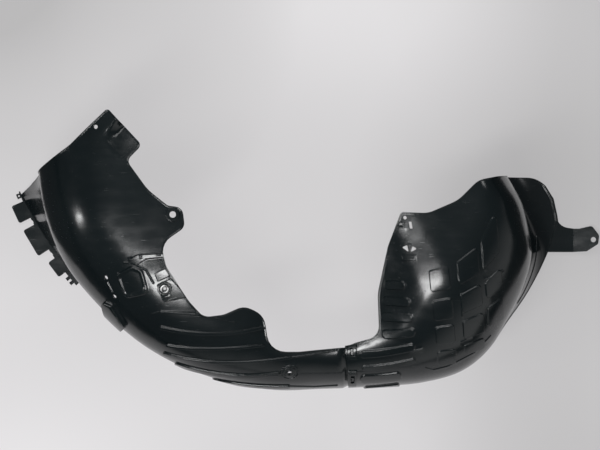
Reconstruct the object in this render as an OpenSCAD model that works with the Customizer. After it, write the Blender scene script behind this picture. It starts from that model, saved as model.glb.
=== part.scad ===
// Wheel arch liner, moulded in two sections that snap together near the crown of the arch.
// It lies on its outboard edge: Z is the height towards the inboard side of the car, and the
// wheel axis is upright. The arch opens towards +Y, and its front end is at -X.
// Angles are taken at the wheel axis, from -Y, positive towards +X.

/* [Arch] */
// Radius of the tread wall at the crown, from the wheel axis
tread_r = 420; // [400:1:440]
// Height of the inboard wall over the outboard edge
wall_h = 240; // [220:1:260]
// Thickness of the moulding
wall = 2.5; // [2.2:0.1:3]

/* [Ribs] */
// Height of the stiffening ribs over the surface
rib_h = 2.2; // [1.5:0.1:3]
// Width of a narrow rib
rib_w = 4; // [3:0.5:6]
// Height of the pads of the rear lobe over the surface
pad_h = 1.6; // [1:0.1:2.5]
// Width of a wide rib
wide_rib_w = 12.5; // [10:0.5:14]

/* [Fastenings] */
// Bore for a push clip or a screw
clip_bore = 8; // [6:0.5:9]
// Bore of the crown ring
crown_bore = 6; // [5:0.5:7]
// Bore of the lug
lug_bore = 7; // [6:0.5:8]
// Bore by the corner of the rear lobe
corner_bore = 4.5; // [4:0.5:5]
// Outer radius of the seat around a bore
seat_r = 9; // [7:0.5:11]
// Height of a seat over the surface
seat_h = 1.2; // [0.8:0.1:2]
// Outer radius of the ring on the crown
crown_ring_r = 12.5; // [11:0.5:14]
// Outer radius of the locating ring on the front lobe
ring_r = 7; // [6:0.5:8]
// Width of the seat outside the locating ring
ring_rim = 2; // [1:0.5:3]
// Bore of the locating ring
ring_bore = 4; // [3:0.5:5]
// Bore of the small holes of the front lobe and its flap
small_bore = 5; // [4:0.5:5.5]
// Outer radius of the groove around the crown bore
groove_r = 10.5; // [9:0.5:10.5]
// Width of that groove
groove_w = 1.5; // [1:0.25:2]
// Depth of that groove
groove_depth = 0.8; // [0.4:0.1:1]

/* [Seam] */
// Angle where the rear section starts
seam_a = 6; // [5:0.5:7]
// Angle by which the front section reaches under the rear one
lap_a = 2; // [1.5:0.25:3]
// Clearance between the lapped walls
lap_gap = 0.2; // [0.1:0.05:0.4]
// Width of a snap latch across the seam
latch_w = 12; // [10:1:14]
// Length of a snap latch along the seam
latch_l = 20; // [16:1:22]
// Height of a snap latch over the surface
latch_h = 3; // [2:0.5:4]

/* [Flanges] */
// Reach of the front flange past the tread wall
flange_w = 12.5; // [10:0.5:15]
// Bore for the pin in the first tooth of the front flange
pin_bore = 2.6; // [2:0.1:3]
// Width of the U-shaped notches between the tabs
notch_w = 9; // [8:0.5:12]
// Angle by which the fixing lug is bent up
lug_bend = 12; // [5:1:20]

/* [Hidden] */
plastic = "#23282a";
// Scale in plan of the tables below, which are drawn for a tread radius of 420 mm
fit = tread_r / 420;
// Height that clears everything on the part
clear_h = wall_h + 20;
// Length of a cutter that clears a wall and its seat
cut_l = 6 * wall;

// Sections of the loft, each [tread angle, tread radius past the crown's, inner angle, inner
// radius, outboard angle, outboard radius past the crown's, drop of the inboard wall, fall of the
// shoulder, width of the shoulder, share of the tread wall that spreads into a flat foot]
sections = [
  [-82, -52, -88, 215, -79, 12, 8, 100, 110, 0],
  [-72, -43, -76, 218, -71, 13, 5, 105, 120, 0],
  [-62, -25, -64, 226, -62, 9, 5, 105, 120, 0],
  [-52, -11, -53, 234, -52, 7, 5, 100, 115, 0],
  [-42, -6, -43, 238, -42, 4, 5, 90, 105, 0],
  [-33, -1, -33, 268, -33, 0, 7, 82, 95, 0],
  [-24, 1, -24, 300, -24, 2, 14, 76, 82, 0],
  [-15, 2, -15, 306, -15, 3, 24, 80, 76, 0],
  [-7, 2, -7, 318, -7, 3, 38, 84, 62, 0],
  [1, -2, 1, 342, 1, 0, 45, 84, 54, 0],
  [8, 0, 8, 346, 8, 2, 44, 84, 56, 0],
  [13, 4, 13, 296, 13, 7, 40, 85, 66, 0],
  [19, 12, 19, 232, 19, 17, 26, 95, 90, 0],
  [26, 18, 25, 206, 26, 27, 10, 112, 118, 0],
  [32, 10, 31, 204, 32, 25, 2, 118, 124, 0],
  [38, -9, 37, 208, 38, 9, 0, 118, 122, 0],
  [44, -27, 42, 214, 44, -2, 0, 118, 116, 0],
  [49.5, -48, 46, 222, 50, -13, 0, 118, 102, 0.2],
  [53.5, -74, 48, 228, 56, -24, 0, 118, 84, 0.6],
  [57, -98, 49.5, 230, 61, -35, 1, 118, 68, 1],
  [59.5, -122, 50.5, 230, 64.5, -58, 3, 118, 54, 1],
  [61.5, -141, 52, 230, 67, -92, 6, 118, 44, 1]];
// Place in that list of the seam, between the sections at 1 and 8 degrees
seam_u = 9 + (seam_a - 1) / 7;
lap_u = lap_a / 7;
last_u = len(sections) - 1;

// Inner edge of the front section, from the end of the arch to the seam: [x, y, corner radius]
front_edge = fit * [
  [-470, -205, 0], [-340, -126, 80], [-306, -104, 40], [-257, -59, 4], [-215, -104, 7],
  [-233, -124, 9], [-207, -160, 60], [-182, -180, 12], [-164, -182, 11], [-161, -207, 11],
  [-191, -228, 22], [-184, -256, 30], [-156, -299, 60], [-138, -319, 16], [-113, -316, 30],
  [-88, -305, 20], [-63, -317, 24], [-56, -364, 24], [-20, -364, 40], [90, -353.5, 0],
  [140, -470, 0], [-470, -470, 0]];
// Inner edge of the rear section, from the seam to the end of the arch
rear_edge = fit * [
  [20, -470, 0], [20, -359, 0], [45, -355.5, 3], [52, -352.5, 3], [82, -344, 17],
  [80, -290, 60], [92, -230, 60], [107, -188, 5], [141, -189, 20], [178, -173, 30],
  [203, -148, 14], [228, -143, 20], [264, -139, 24], [303, -139.5, 22], [329, -162, 30],
  [335, -200, 0], [470, -300, 0], [470, -470, 0]];
// Fold of the end flap: a line at 45 degrees through this point, its slope, and where along the
// line it fades out before the seat of the bore
flap_fold = fit * [-243, -114];
flap_slope = 0.45;
flap_fade = fit * [-32, -18];

// Dish of the inboard wall towards its inner edge
wall_dish = 3;
// How the tread wall flares towards the outboard edge, and how much more so where it has a foot
tread_flare = 1.5;
foot_flare = 2.5;

// Number of columns and rows of the loft
column_step = 0.3;
wall_rows = 5;
shoulder_rows = 8;
tread_rows = 5;

function unit(v) = v / norm(v);
function polar(a, r) = [r * sin(a), -r * cos(a)];
function ramp(x, a, b) = let (t = min(max((x - a) / (b - a), 0), 1)) t * t * (3 - 2 * t);

// Smooth curve through the sections
function spline(a, b, c, d, t) =
  (2 * b + (c - a) * t + (2 * a - 5 * b + 4 * c - d) * t * t + (3 * b - a - 3 * c + d) * t * t * t) / 2;
function section(u) =
  let (i = min(max(floor(u), 0), last_u - 1))
  spline(sections[max(i - 1, 0)], sections[i], sections[i + 1],
    sections[min(i + 2, last_u)], u - i);

// The end flap bends down past its fold
function fold(p) =
  let (d = p - flap_fold, past = (d.x + d.y) / sqrt(2), beside = (d.x - d.y) / sqrt(2))
  flap_slope * max(past, 0) * ramp(-atan2(p.x, -p.y), 57, 61)
    * ramp(beside, flap_fade[0], flap_fade[1]);

// Point of the outer surface: w runs 0 to 1 over the wall, to 2 over the shoulder and to 3 down
// the tread wall to the outboard edge
function surface_point(u, w) =
  let (s = section(u),
    tread = polar(s[0], tread_r + s[1] * fit),
    inner = polar(s[2], s[3] * fit),
    outboard = polar(s[4], tread_r + s[5] * fit),
    along = unit(tread - inner),
    shoulder_w = s[8] * fit,
    flat_l = norm(tread - inner) - shoulder_w,
    top = wall_h - s[6],
    turn = 90 * (w - 1),
    p = w < 1 ? inner + along * flat_l * w
      : w < 2 ? inner + along * (flat_l + shoulder_w * sin(turn))
      : tread + (outboard - tread) * pow(w - 2, tread_flare + foot_flare * s[9]),
    z = w < 1 ? top - wall_dish * pow(1 - w, 2)
      : w < 2 ? top - s[7] * (1 - cos(turn))
      : (top - s[7] - wall * s[9]) * pow(3 - w, 1 + s[9]) + wall * s[9])
  [p.x, p.y, z - (w < 1.5 ? fold(p) : 0)];

function surface_normal(u, w) =
  let (e = 0.01,
    du = surface_point(min(u + e, last_u), w) - surface_point(max(u - e, 0), w),
    dw = surface_point(u, min(w + e, 3)) - surface_point(u, max(w - e, 0)))
  unit(cross(dw, du));

function offset_point(u, w, o) = surface_point(u, w) + surface_normal(u, w) * o;

// Place on the loft of a point seen along the wheel axis
function nearest(p, u, w, n = 12) =
  n == 0 ? [u, w] :
  let (e = 0.001,
    s = surface_point(u, w),
    du = (surface_point(u + e, w) - s) / e,
    dw = (surface_point(u, w + e) - s) / e,
    d = p - [s.x, s.y],
    det = du.x * dw.y - du.y * dw.x,
    u2 = u + (d.x * dw.y - d.y * dw.x) / det,
    w2 = w + (du.x * d.y - du.y * d.x) / det)
  nearest(p, min(max(u2, 0.2), last_u - 0.2), min(max(w2, 0.1), 1.97), n - 1);
function start_u(p) =
  let (a = atan2(p.x, -p.y), below = [for (i = [0:last_u]) if (sections[i][0] <= a) i])
  max(below[len(below) - 1], 1);
function place(p) = nearest(p, start_u(p), 1.2);

// Rows of the loft between two places on it
function rows_between(w0, w1) = [
  w0,
  for (j = [0:wall_rows - 1])
    let (w = j / wall_rows) if (w > w0 + 0.02 && w < w1 - 0.02) w,
  for (j = [0:shoulder_rows - 1])
    let (w = 1 + j / shoulder_rows) if (w > w0 + 0.02 && w < w1 - 0.02) w,
  for (j = [0:tread_rows - 1])
    let (w = 2 + j / tread_rows) if (w > w0 + 0.02 && w < w1 - 0.02) w,
  w1];

// Closed wall between two offsets from the loft. A column is [place, shift of both offsets].
module skin(columns, low, high, w0 = 0, w1 = 3) {
  rows = rows_between(w0, w1);
  nu = len(columns) - 1;
  nw = len(rows) - 1;
  sheet = (nu + 1) * (nw + 1);
  points = [
    for (c = columns) for (w = rows) offset_point(c[0], w, high + c[1]),
    for (c = columns) for (w = rows) offset_point(c[0], w, low + c[1])];
  function id(i, j, s) = s * sheet + i * (nw + 1) + j;
  faces = [
    for (i = [0:nu - 1]) for (j = [0:nw - 1]) each [
      [id(i, j, 0), id(i + 1, j, 0), id(i + 1, j + 1, 0)],
      [id(i, j, 0), id(i + 1, j + 1, 0), id(i, j + 1, 0)],
      [id(i, j, 1), id(i + 1, j + 1, 1), id(i + 1, j, 1)],
      [id(i, j, 1), id(i, j + 1, 1), id(i + 1, j + 1, 1)]],
    for (i = [0:nu - 1]) each [
      [id(i, 0, 0), id(i, 0, 1), id(i + 1, 0, 1)],
      [id(i, 0, 0), id(i + 1, 0, 1), id(i + 1, 0, 0)],
      [id(i, nw, 0), id(i + 1, nw, 1), id(i, nw, 1)],
      [id(i, nw, 0), id(i + 1, nw, 0), id(i + 1, nw, 1)]],
    for (j = [0:nw - 1]) each [
      [id(0, j, 0), id(0, j + 1, 1), id(0, j, 1)],
      [id(0, j, 0), id(0, j + 1, 0), id(0, j + 1, 1)],
      [id(nu, j, 0), id(nu, j, 1), id(nu, j + 1, 1)],
      [id(nu, j, 0), id(nu, j + 1, 1), id(nu, j + 1, 0)]]];
  polyhedron(points, faces);
}

// What its 2D children, seen along the wheel axis, mark out on an area [u0, u1, w0, w1] of the
// loft, raised over the surface
module raised(area, height, low = -wall / 2) {
  intersection() {
    skin(columns_between(area[0], area[1]), low, height, area[2], area[3]);
    linear_extrude(clear_h) children();
  }
}

// Outline whose corners [x, y, radius] are rounded
function rounded(corners, n = 5) = [
  for (i = [0:len(corners) - 1])
    let (c = corners[i],
      before = corners[(i + len(corners) - 1) % len(corners)],
      after = corners[(i + 1) % len(corners)],
      p = [c.x, c.y],
      a = unit([before.x, before.y] - p),
      b = unit([after.x, after.y] - p),
      half = acos(a * b) / 2,
      middle = p + unit(a + b) * c.z / sin(half),
      from = p + a * c.z / tan(half) - middle,
      to = p + b * c.z / tan(half) - middle,
      start = atan2(from.y, from.x),
      sweep = (atan2(to.y, to.x) - start + 540) % 360 - 180)
    each c.z == 0 ? [p] : [for (k = [0:n]) middle + polar(start + sweep * k / n + 90, c.z)]];

// Points of a bow from a to b that passes through m half way
function bow(a, m, b, n = 8) = [
  for (k = [0:n]) let (t = k / n)
    a * (1 - t) * (1 - 2 * t) + 4 * m * t * (1 - t) + b * t * (2 * t - 1)];

// Outline of a round-ended band along a path
function band(path, width, n = 6) =
  let (last = len(path) - 1,
    side = [for (i = [0:last])
      let (d = unit(path[min(i + 1, last)] - path[max(i - 1, 0)])) [-d.y, d.x] * width / 2],
    first_a = atan2(side[0].y, side[0].x) + 90,
    last_a = atan2(side[last].y, side[last].x) + 90)
  [for (i = [0:last]) path[i] + side[i],
    for (k = [1:n - 1]) path[last] + polar(last_a - 180 * k / n, width / 2),
    for (i = [last:-1:0]) path[i] - side[i],
    for (k = [1:n - 1]) path[0] - polar(first_a - 180 * k / n, width / 2)];

// Turns and moves its children so that they stand on the surface at a place
module stand(p) {
  q = place(p);
  n = surface_normal(q.x, q.y);
  translate(surface_point(q.x, q.y))
    rotate([0, acos(n.z), atan2(n.y, n.x)])
      children();
}

// Flat round seat, sunk into the wall
module seat(p, r, h = seat_h) {
  stand(p) translate([0, 0, -wall]) cylinder(wall + h, r = r, $fn = 48);
}
// Bore through the wall and a seat on it
module bore(p, d) {
  stand(p) cylinder(cut_l, d = d, center = true, $fn = 48);
}
// Round groove in a seat, which leaves a ring around its middle
module ring_groove(p) {
  stand(p) translate([0, 0, seat_h - groove_depth]) difference() {
    cylinder(cut_l, r = groove_r, $fn = 48);
    cylinder(cut_l * 3, r = groove_r - groove_w, center = true, $fn = 48);
  }
}

// Columns of the loft from one place to another
function columns_between(u0, u1) = [
  [u0, 0], for (u = [u0 + column_step:column_step:u1 - column_step / 2]) [u, 0], [u1, 0]];
front_columns = concat(columns_between(0, seam_u - 0.15),
  [[seam_u - 0.03, -wall - lap_gap], [seam_u + lap_u, -wall - lap_gap]]);
rear_columns = columns_between(seam_u, last_u);

// Ribs of the front section: start, middle and end as seen along the wheel axis, and width
front_ribs = [
  [[-191, -312], [-168, -313], [-138, -315], rib_w],
  [[-191, -332], [-126, -340], [-66, -333], rib_w + 1],
  [[-185, -355], [-126, -359], [-64, -355], rib_w],
  [[-190, -366], [-116, -377], [-30, -371], rib_w],
  [[-176, -381], [-107, -395], [-46, -392], rib_w + 1],
  [[-130, -403], [-80, -410], [-32, -411], rib_w]];
// Pads of the front section
front_pads = fit * [
  [[-248, -265, 6], [-226, -253, 8], [-213, -259, 8], [-204, -290, 9], [-237, -297, 8]],
  [[-236, -249, 3], [-219, -240, 4], [-178, -238, 2], [-178, -244, 2], [-208, -247, 4],
    [-221, -255, 3]],
  [[-200, -257, 2], [-184, -254, 2], [-176, -266, 2], [-200, -277, 2]],
  [[-204, -284, 3], [-176, -269, 2], [-152, -296, 2], [-197, -304, 4]]];
// Block on the shoulder of the front lobe
shoulder_block = fit * [[-268, -299, 3], [-254, -304, 3], [-236, -332, 3], [-262, -350, 3]];
shoulder_block_h = 5;
// Areas of the loft that the ribs, the pads and the block may cover
front_rib_area = [4.2, seam_u - 0.2, 0.3, 1.95];
front_pad_area = [3, 6, 0.1, 1.6];
block_area = [3.2, 5.2, 1.4, 2.2];

// Short ribs by the inner edge of the rear lobe, then the long ribs of the crown
rear_ribs = [
  [[93, -279], [103, -279], [109, -279], wide_rib_w],
  [[91, -299], [103, -299.5], [115, -300], wide_rib_w],
  [[90, -319], [105, -319.5], [118, -320], wide_rib_w],
  [[91, -341], [107, -340], [121, -338], wide_rib_w],
  [[62, -367], [90, -364], [122, -357], wide_rib_w - 2],
  [[64, -385], [92, -382], [125, -374.5], 2 * rib_w],
  [[64, -400], [84, -399], [106, -396], wide_rib_w],
  [[68, -416.5], [88, -414.5], [108, -411.5], 2 * rib_w]];
// Raised fields of the rear lobe: edges of their columns, and radii of their rows
field_columns = fit * [[149, 178], [185, 208], [215, 238]];
field_rows = fit * [[290, 315], [325, 347], [355, 375], [383, 408]];
field_corner = 4 * fit;
// Farthest corner of a field from the wheel axis, as [outer column edge, row radius]
field_reach = 472 * fit;

// Areas of the loft that the ribs and the fields may cover
rear_rib_area = [seam_u + 0.1, 14, 0.2, 2.25];
field_area = [12, 16.5, 0.2, 1.9];

function field(x, r) = rounded([
  for (c = [[x[0], r[0]], [x[1], r[0]], [x[1], r[1]], [x[0], r[1]]])
    [c[0], -sqrt(c[1] * c[1] - c[0] * c[0]), field_corner]]);

// Places of the bores of the front section
flap_hole = fit * [-272, -82];
ear_hole = fit * [-176, -191];
ring_hole = fit * [-186, -283];
crown_hole = fit * [-31, -391];
small_holes = fit * [[-261, -270], [-251, -294]];
// Places of the bore and of the slot and block beside it at the corner of the rear section
corner_hole = fit * [112, -195];
corner_slot = fit * [[116.5, -200, 0.5], [120, -200, 0.5], [121.5, -208.5, 0.5], [118, -208.5, 0.5]];
corner_block = fit * [[104, -200, 0.5], [112, -200, 0.5], [112, -208, 0.5], [102, -208, 0.5]];
corner_block_h = 1.6;
// Hook of the rear section between two small windows, and the raised panel below them
hook_windows = fit * [
  [[108.5, -232, 0.8], [115, -229, 0.8], [117.3, -238, 0.8]],
  [[119.2, -238, 0.8], [121.5, -230.3, 0.8], [127, -233.5, 0.8]]];
hook = fit * [[115.5, -227, 0.8], [121, -227, 0.8], [118.8, -239, 0.5], [117.7, -239, 0.5]];
hook_h = 2;
hook_panel = fit * [[109, -240, 1.5], [127, -240, 1.5], [127, -248.5, 1.5], [109, -248.5, 1.5]];
corner_area = [12.5, 16, 0.02, 1.2];
// Gusset between the end of the rear lobe and its foot
gusset = fit * [[299, -212, 1.5], [305, -213, 1.5], [313, -236, 1.5], [306, -238, 1.5]];
gusset_h = 7;
gusset_area = [16, 19.5, 2.3, 2.98];

// Snap latches: middles of the catches on the front section, seen along the wheel axis
latches = fit * [[47.5, -364], [49, -399]];
catch_size = [3.5, 9];
catch_root = 1.7 * wall;
window_gap = 0.4;
// Areas of the loft that the catches and the latches may cover
catch_area = [seam_u - 0.2, seam_u + lap_u, 0.2, 2];
latch_area = [seam_u, seam_u + 0.5, 0.2, 1.98];

module catch_outline(p, grow) {
  translate(p) square(catch_size + [grow, grow] * 2, center = true);
}

// Space inside the outboard edge of the loft, between two columns: it ends within the wall
module wheel_side(span, n = 12) {
  polygon([
    for (k = [0:n])
      let (q = surface_point(span[0] + (span[1] - span[0]) * k / n, 3), p = [q.x, q.y])
        p - unit(p) * wall / 2,
    [0, -tread_r / 3]]);
}

// Front flange: its first and last angle, and how far it starts inside the tread wall
flange_r = tread_r + flange_w;
flange_span = [-68.5, -48.5];
flange_root = 10;
// A tab is [first angle, last angle, reach]; the notches between are round
tabs = [[-66.6, -63.3, 17], [-61.9, -56.7, 17], [-54.8, -51.6, 11]];
tab_root = 8;
tab_corner = 3;
notches = [-62.5, -55.7];
teeth = [[-68.2, -67.3], [-50.7, -50.1], [-49.7, -49.1]];
tooth_h = 5;
// How far into the flange the notches start
notch_set = 1;
// Angle of the pin bore in the first tooth, and how far it stands past the flange
pin_a = -67.75;
pin_set = 2;
// Parts of the outboard edge that the flanges grow from
front_flange_span = [0.8, 5];
rear_flange_span = [16, 20];

function tab_outline(t) = rounded([
  for (c = [[t[0], -tab_root, 0], [t[0], t[2], tab_corner], [t[1], t[2], tab_corner],
      [t[1], -tab_root, 0]])
    let (q = polar(c[0], flange_r + c[1])) [q.x, q.y, c[2]]]);

module front_flange(n = 14) {
  linear_extrude(wall) difference() {
    union() {
      polygon([
        for (k = [0:n]) polar(flange_span[0] + (flange_span[1] - flange_span[0]) * k / n, flange_r),
        polar(flange_span[1], tread_r - flange_root), polar(flange_span[0], tread_r - flange_root)]);
      for (t = tabs) polygon(tab_outline(t));
      for (t = teeth)
        polygon([polar(t[0], tread_r), polar(t[0], flange_r + tooth_h),
          polar(t[1], flange_r + tooth_h), polar(t[1], tread_r)]);
    }
    wheel_side(front_flange_span);
    for (a = notches)
      translate(polar(a, flange_r + notch_w / 2 - notch_set)) circle(d = notch_w, $fn = 32);
    translate(polar(pin_a, flange_r + pin_set)) circle(d = pin_bore, $fn = 24);
  }
}

// Rear flange with the fixing lug, which is bent up along a line across it
lug_x = 356 * fit;
lug_low = -241 * fit;
lug_high = -209 * fit;
lug_hole = [27, lug_low + 17];
lug_outline = [
  [0, lug_low, 0], [18, lug_low + 1, 3], [33.5, lug_low + 11, 4], [35, lug_low + 23, 7],
  [25, lug_high + 4, 5], [8, lug_high, 4], [0, lug_high, 0]];
lug_root = fit * [[318, -191, 0], [332, -191, 0], [335, -206, 18]];
lug_root_x = 305 * fit;

module rear_flange() {
  linear_extrude(wall) difference() {
    polygon(rounded(concat(lug_root,
      [[lug_x, lug_high, 0], [lug_x, lug_low, 0], [lug_root_x, lug_low, 0]])));
    wheel_side(rear_flange_span);
  }
  translate([lug_x, 0, 0]) rotate([0, -lug_bend, 0]) difference() {
    linear_extrude(wall) polygon(rounded(lug_outline));
    translate([lug_hole.x, lug_hole.y, 0]) cylinder(cut_l, d = lug_bore, center = true, $fn = 48);
  }
}

// Middle of the part as seen along the wheel axis
left = min([for (t = tabs) for (q = tab_outline(t)) q.x]);
right = lug_x + max([for (q = rounded(lug_outline)) q.x]) * cos(lug_bend);
low = min([for (c = front_columns) for (w = [2:0.25:3]) offset_point(c[0], w, 0).y]);
high = max([for (q = rounded(front_edge)) q.y]);
module centred() {
  translate([-(left + right) / 2, -(low + high) / 2, 0]) children();
}

module front_section() {
  color(plastic) centred() difference() {
    union() {
      intersection() {
        union() {
          skin(front_columns, -wall, 0);
          raised(front_rib_area, rib_h)
            for (r = front_ribs) polygon(band(fit * bow(r[0], r[1], r[2]), r[3]));
          raised(front_pad_area, rib_h)
            for (p = front_pads) polygon(rounded(p));
          raised(block_area, shoulder_block_h)
            polygon(rounded(shoulder_block));
          raised(catch_area, latch_h, -catch_root)
            for (p = latches) catch_outline(p, 0);
          seat(ear_hole, seat_r);
          seat(ring_hole, ring_r + ring_rim, rib_h + seat_h);
          seat(crown_hole, crown_ring_r);
        }
        linear_extrude(clear_h) polygon(rounded(front_edge));
      }
      front_flange();
    }
    bore(flap_hole, small_bore);
    bore(ear_hole, clip_bore);
    bore(ring_hole, ring_bore);
    bore(crown_hole, crown_bore);
    for (p = small_holes) bore(p, small_bore);
    ring_groove(crown_hole);
  }
}

module rear_section() {
  color(plastic) centred() difference() {
    union() {
      intersection() {
        union() {
          skin(rear_columns, -wall, 0);
          raised(rear_rib_area, rib_h)
            for (r = rear_ribs) polygon(band(fit * bow(r[0], r[1], r[2], 3), r[3]));
          raised(field_area, pad_h)
            for (x = field_columns) for (r = field_rows)
              if (norm([x[1], r[1]]) < field_reach) polygon(field(x, r));
          raised(latch_area, latch_h)
            for (p = latches) translate(p) square([latch_w, latch_l], center = true);
          raised(corner_area, corner_block_h) {
            polygon(rounded(corner_block, 2));
            polygon(rounded(hook_panel, 3));
          }
          raised(corner_area, hook_h) polygon(rounded(hook, 2));
          raised(gusset_area, gusset_h) polygon(rounded(gusset, 2));
        }
        linear_extrude(clear_h) polygon(rounded(rear_edge));
      }
      rear_flange();
    }
    bore(corner_hole, corner_bore);
    translate([0, 0, wall_h / 2]) linear_extrude(wall_h) {
      for (p = hook_windows) polygon(rounded(p, 2));
      polygon(rounded(corner_slot, 2));
    }
    linear_extrude(wall_h) for (p = latches) catch_outline(p, window_gap);
  }
}

front_section();
rear_section();
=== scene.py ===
from math import acos, atan2, cos, pi, radians, sin, sqrt, tan

import bpy
import numpy as np
from mathutils import Matrix, Vector
from mathutils.geometry import delaunay_2d_cdt
from mathutils.kdtree import KDTree


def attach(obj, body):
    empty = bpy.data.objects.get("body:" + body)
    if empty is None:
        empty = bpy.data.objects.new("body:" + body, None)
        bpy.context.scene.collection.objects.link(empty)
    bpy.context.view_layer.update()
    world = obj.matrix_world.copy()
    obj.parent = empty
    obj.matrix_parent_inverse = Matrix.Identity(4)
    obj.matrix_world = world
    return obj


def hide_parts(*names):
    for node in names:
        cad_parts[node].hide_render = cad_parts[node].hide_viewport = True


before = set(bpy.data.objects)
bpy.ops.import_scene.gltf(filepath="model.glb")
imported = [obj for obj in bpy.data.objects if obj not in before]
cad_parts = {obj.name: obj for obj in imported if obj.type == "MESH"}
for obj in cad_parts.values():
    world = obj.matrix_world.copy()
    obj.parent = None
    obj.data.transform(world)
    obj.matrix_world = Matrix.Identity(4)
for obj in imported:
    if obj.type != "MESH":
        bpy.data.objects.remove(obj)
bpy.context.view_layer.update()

# A wheel arch liner, moulded in black polypropylene in two sections. Sizes are in millimetres,
# as a moulder would draw them: x and y from the wheel axis, z up from the outboard edge that the
# liner lies on. MIDDLE is the middle of the liner in that drawing, the origin of the row.
MIDDLE = np.array([-10.7747, -240.765, 0.0])
MM = 0.001

TREAD_R, WALL_H, WALL = 420.0, 240.0, 2.5     # tread wall's radius, its height, the skin
RIB_H, RIB_W, WIDE_RIB_W = 2.2, 4.0, 12.5
PAD_H, SEAT_H = 1.6, 1.2
SEAM_A, LAP_A, LAP_GAP = 6.0, 2.0, 0.2        # the lap of the sections: angles, clearance
FLANGE_R, LUG_BEND = TREAD_R + 12.5, 12.0
EDGE = 0.6       # radius of the trimmed edges of the moulding
SOFT = 1.0       # width of the drafted, rounded side of a rib
WIDE_SOFT = 1.7  # the same on the oval ribs

# Each section of the shell: tread angle, tread radius past TREAD_R, inner angle, inner radius,
# outboard angle, outboard radius past TREAD_R, drop of the wall, fall and width of the shoulder,
# share of the tread wall that spreads into a flat foot.
SECTIONS = np.array([
    [-82, -52, -88, 215, -79, 12, 8, 100, 110, 0],
    [-72, -43, -76, 218, -71, 13, 5, 105, 120, 0],
    [-62, -25, -64, 226, -62, 9, 5, 105, 120, 0],
    [-52, -11, -53, 234, -52, 7, 5, 100, 115, 0],
    [-42, -6, -43, 238, -42, 4, 5, 90, 105, 0],
    [-33, -1, -33, 268, -33, 0, 7, 82, 95, 0],
    [-24, 1, -24, 300, -24, 2, 14, 76, 82, 0],
    [-15, 2, -15, 306, -15, 3, 24, 80, 76, 0],
    [-7, 2, -7, 318, -7, 3, 38, 84, 62, 0],
    [1, -2, 1, 342, 1, 0, 45, 84, 54, 0],
    [8, 0, 8, 346, 8, 2, 44, 84, 56, 0],
    [13, 4, 13, 296, 13, 7, 40, 85, 66, 0],
    [19, 12, 19, 232, 19, 17, 26, 95, 90, 0],
    [26, 18, 25, 206, 26, 27, 10, 112, 118, 0],
    [32, 10, 31, 204, 32, 25, 2, 118, 124, 0],
    [38, -9, 37, 208, 38, 9, 0, 118, 122, 0],
    [44, -27, 42, 214, 44, -2, 0, 118, 116, 0],
    [49.5, -48, 46, 222, 50, -13, 0, 118, 102, 0.2],
    [53.5, -74, 48, 228, 56, -24, 0, 118, 84, 0.6],
    [57, -98, 49.5, 230, 61, -35, 1, 118, 68, 1],
    [59.5, -122, 50.5, 230, 64.5, -58, 3, 118, 54, 1],
    [61.5, -141, 52, 230, 67, -92, 6, 118, 44, 1]], float)
LAST_U = len(SECTIONS) - 1
SEAM_U = 9 + (SEAM_A - 1) / 7
LAP_U = SEAM_U + LAP_A / 7

# Inner edges of the two sections, each corner as x, y and its rounding
FRONT_EDGE = [
    (-470, -205, 0), (-340, -126, 80), (-306, -104, 40), (-257, -59, 4), (-215, -104, 7),
    (-233, -124, 9), (-207, -160, 60), (-182, -180, 12), (-164, -182, 11), (-161, -207, 11),
    (-191, -228, 22), (-184, -256, 30), (-156, -299, 60), (-138, -319, 16), (-113, -316, 30),
    (-88, -305, 20), (-63, -317, 24), (-56, -364, 24), (-20, -364, 40), (90, -353.5, 0)]
REAR_EDGE = [
    (20, -359, 0), (45, -355.5, 3), (52, -352.5, 3), (82, -344, 17), (80, -290, 60),
    (92, -230, 60), (107, -188, 5), (141, -189, 30), (178, -173, 45), (203, -148, 26),
    (228, -143, 26), (264, -139, 24), (303, -139.5, 34), (321, -152, 40), (331, -173, 50), (335, -200, 0),
    (470, -300, 0)]
# The flap past its fold: a point of the fold, the slope, and where the fold fades in
FLAP_FOLD, FLAP_SLOPE = np.array([-243.0, -114.0]), 0.45
FLAP_ANGLES, FLAP_FADE = (57, 61), (-32.0, -18.0)
WALL_DISH = 3.0
TREAD_FLARE, FOOT_FLARE = 1.5, 2.5


# The shell as it was drawn

def polar(angle, r):
    a = np.radians(angle)
    return np.stack([r * np.sin(a), -r * np.cos(a)], -1)


def ramp(x, a, b):
    t = np.clip((x - a) / (b - a), 0, 1)
    return t * t * (3 - 2 * t)


def dot(a, b):
    return (a * b).sum(-1)


def cross2(a, b):
    return a[..., 0] * b[..., 1] - a[..., 1] * b[..., 0]


def circular(a):
    return np.stack([np.cos(a), np.sin(a)], -1)


def unit(v):
    return v / np.maximum(np.linalg.norm(v, axis=-1, keepdims=True), 1e-9)


def section(u):
    """A smooth curve through the sections."""
    i = np.clip(np.floor(u).astype(int), 0, LAST_U - 1)
    a, b = SECTIONS[np.maximum(i - 1, 0)], SECTIONS[i]
    c, d = SECTIONS[i + 1], SECTIONS[np.minimum(i + 2, LAST_U)]
    t = (u - i)[..., None]
    return (2 * b + (c - a) * t + (2 * a - 5 * b + 4 * c - d) * t ** 2
            + (3 * b - a - 3 * c + d) * t ** 3) / 2


def section_line(u):
    """Where a section starts at the inner edge and which way it runs, as seen along the axis."""
    s = section(u)
    tread = polar(s[..., 0], TREAD_R + s[..., 1])
    inner = polar(s[..., 2], s[..., 3])
    return s, tread, inner, unit(tread - inner)


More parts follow.
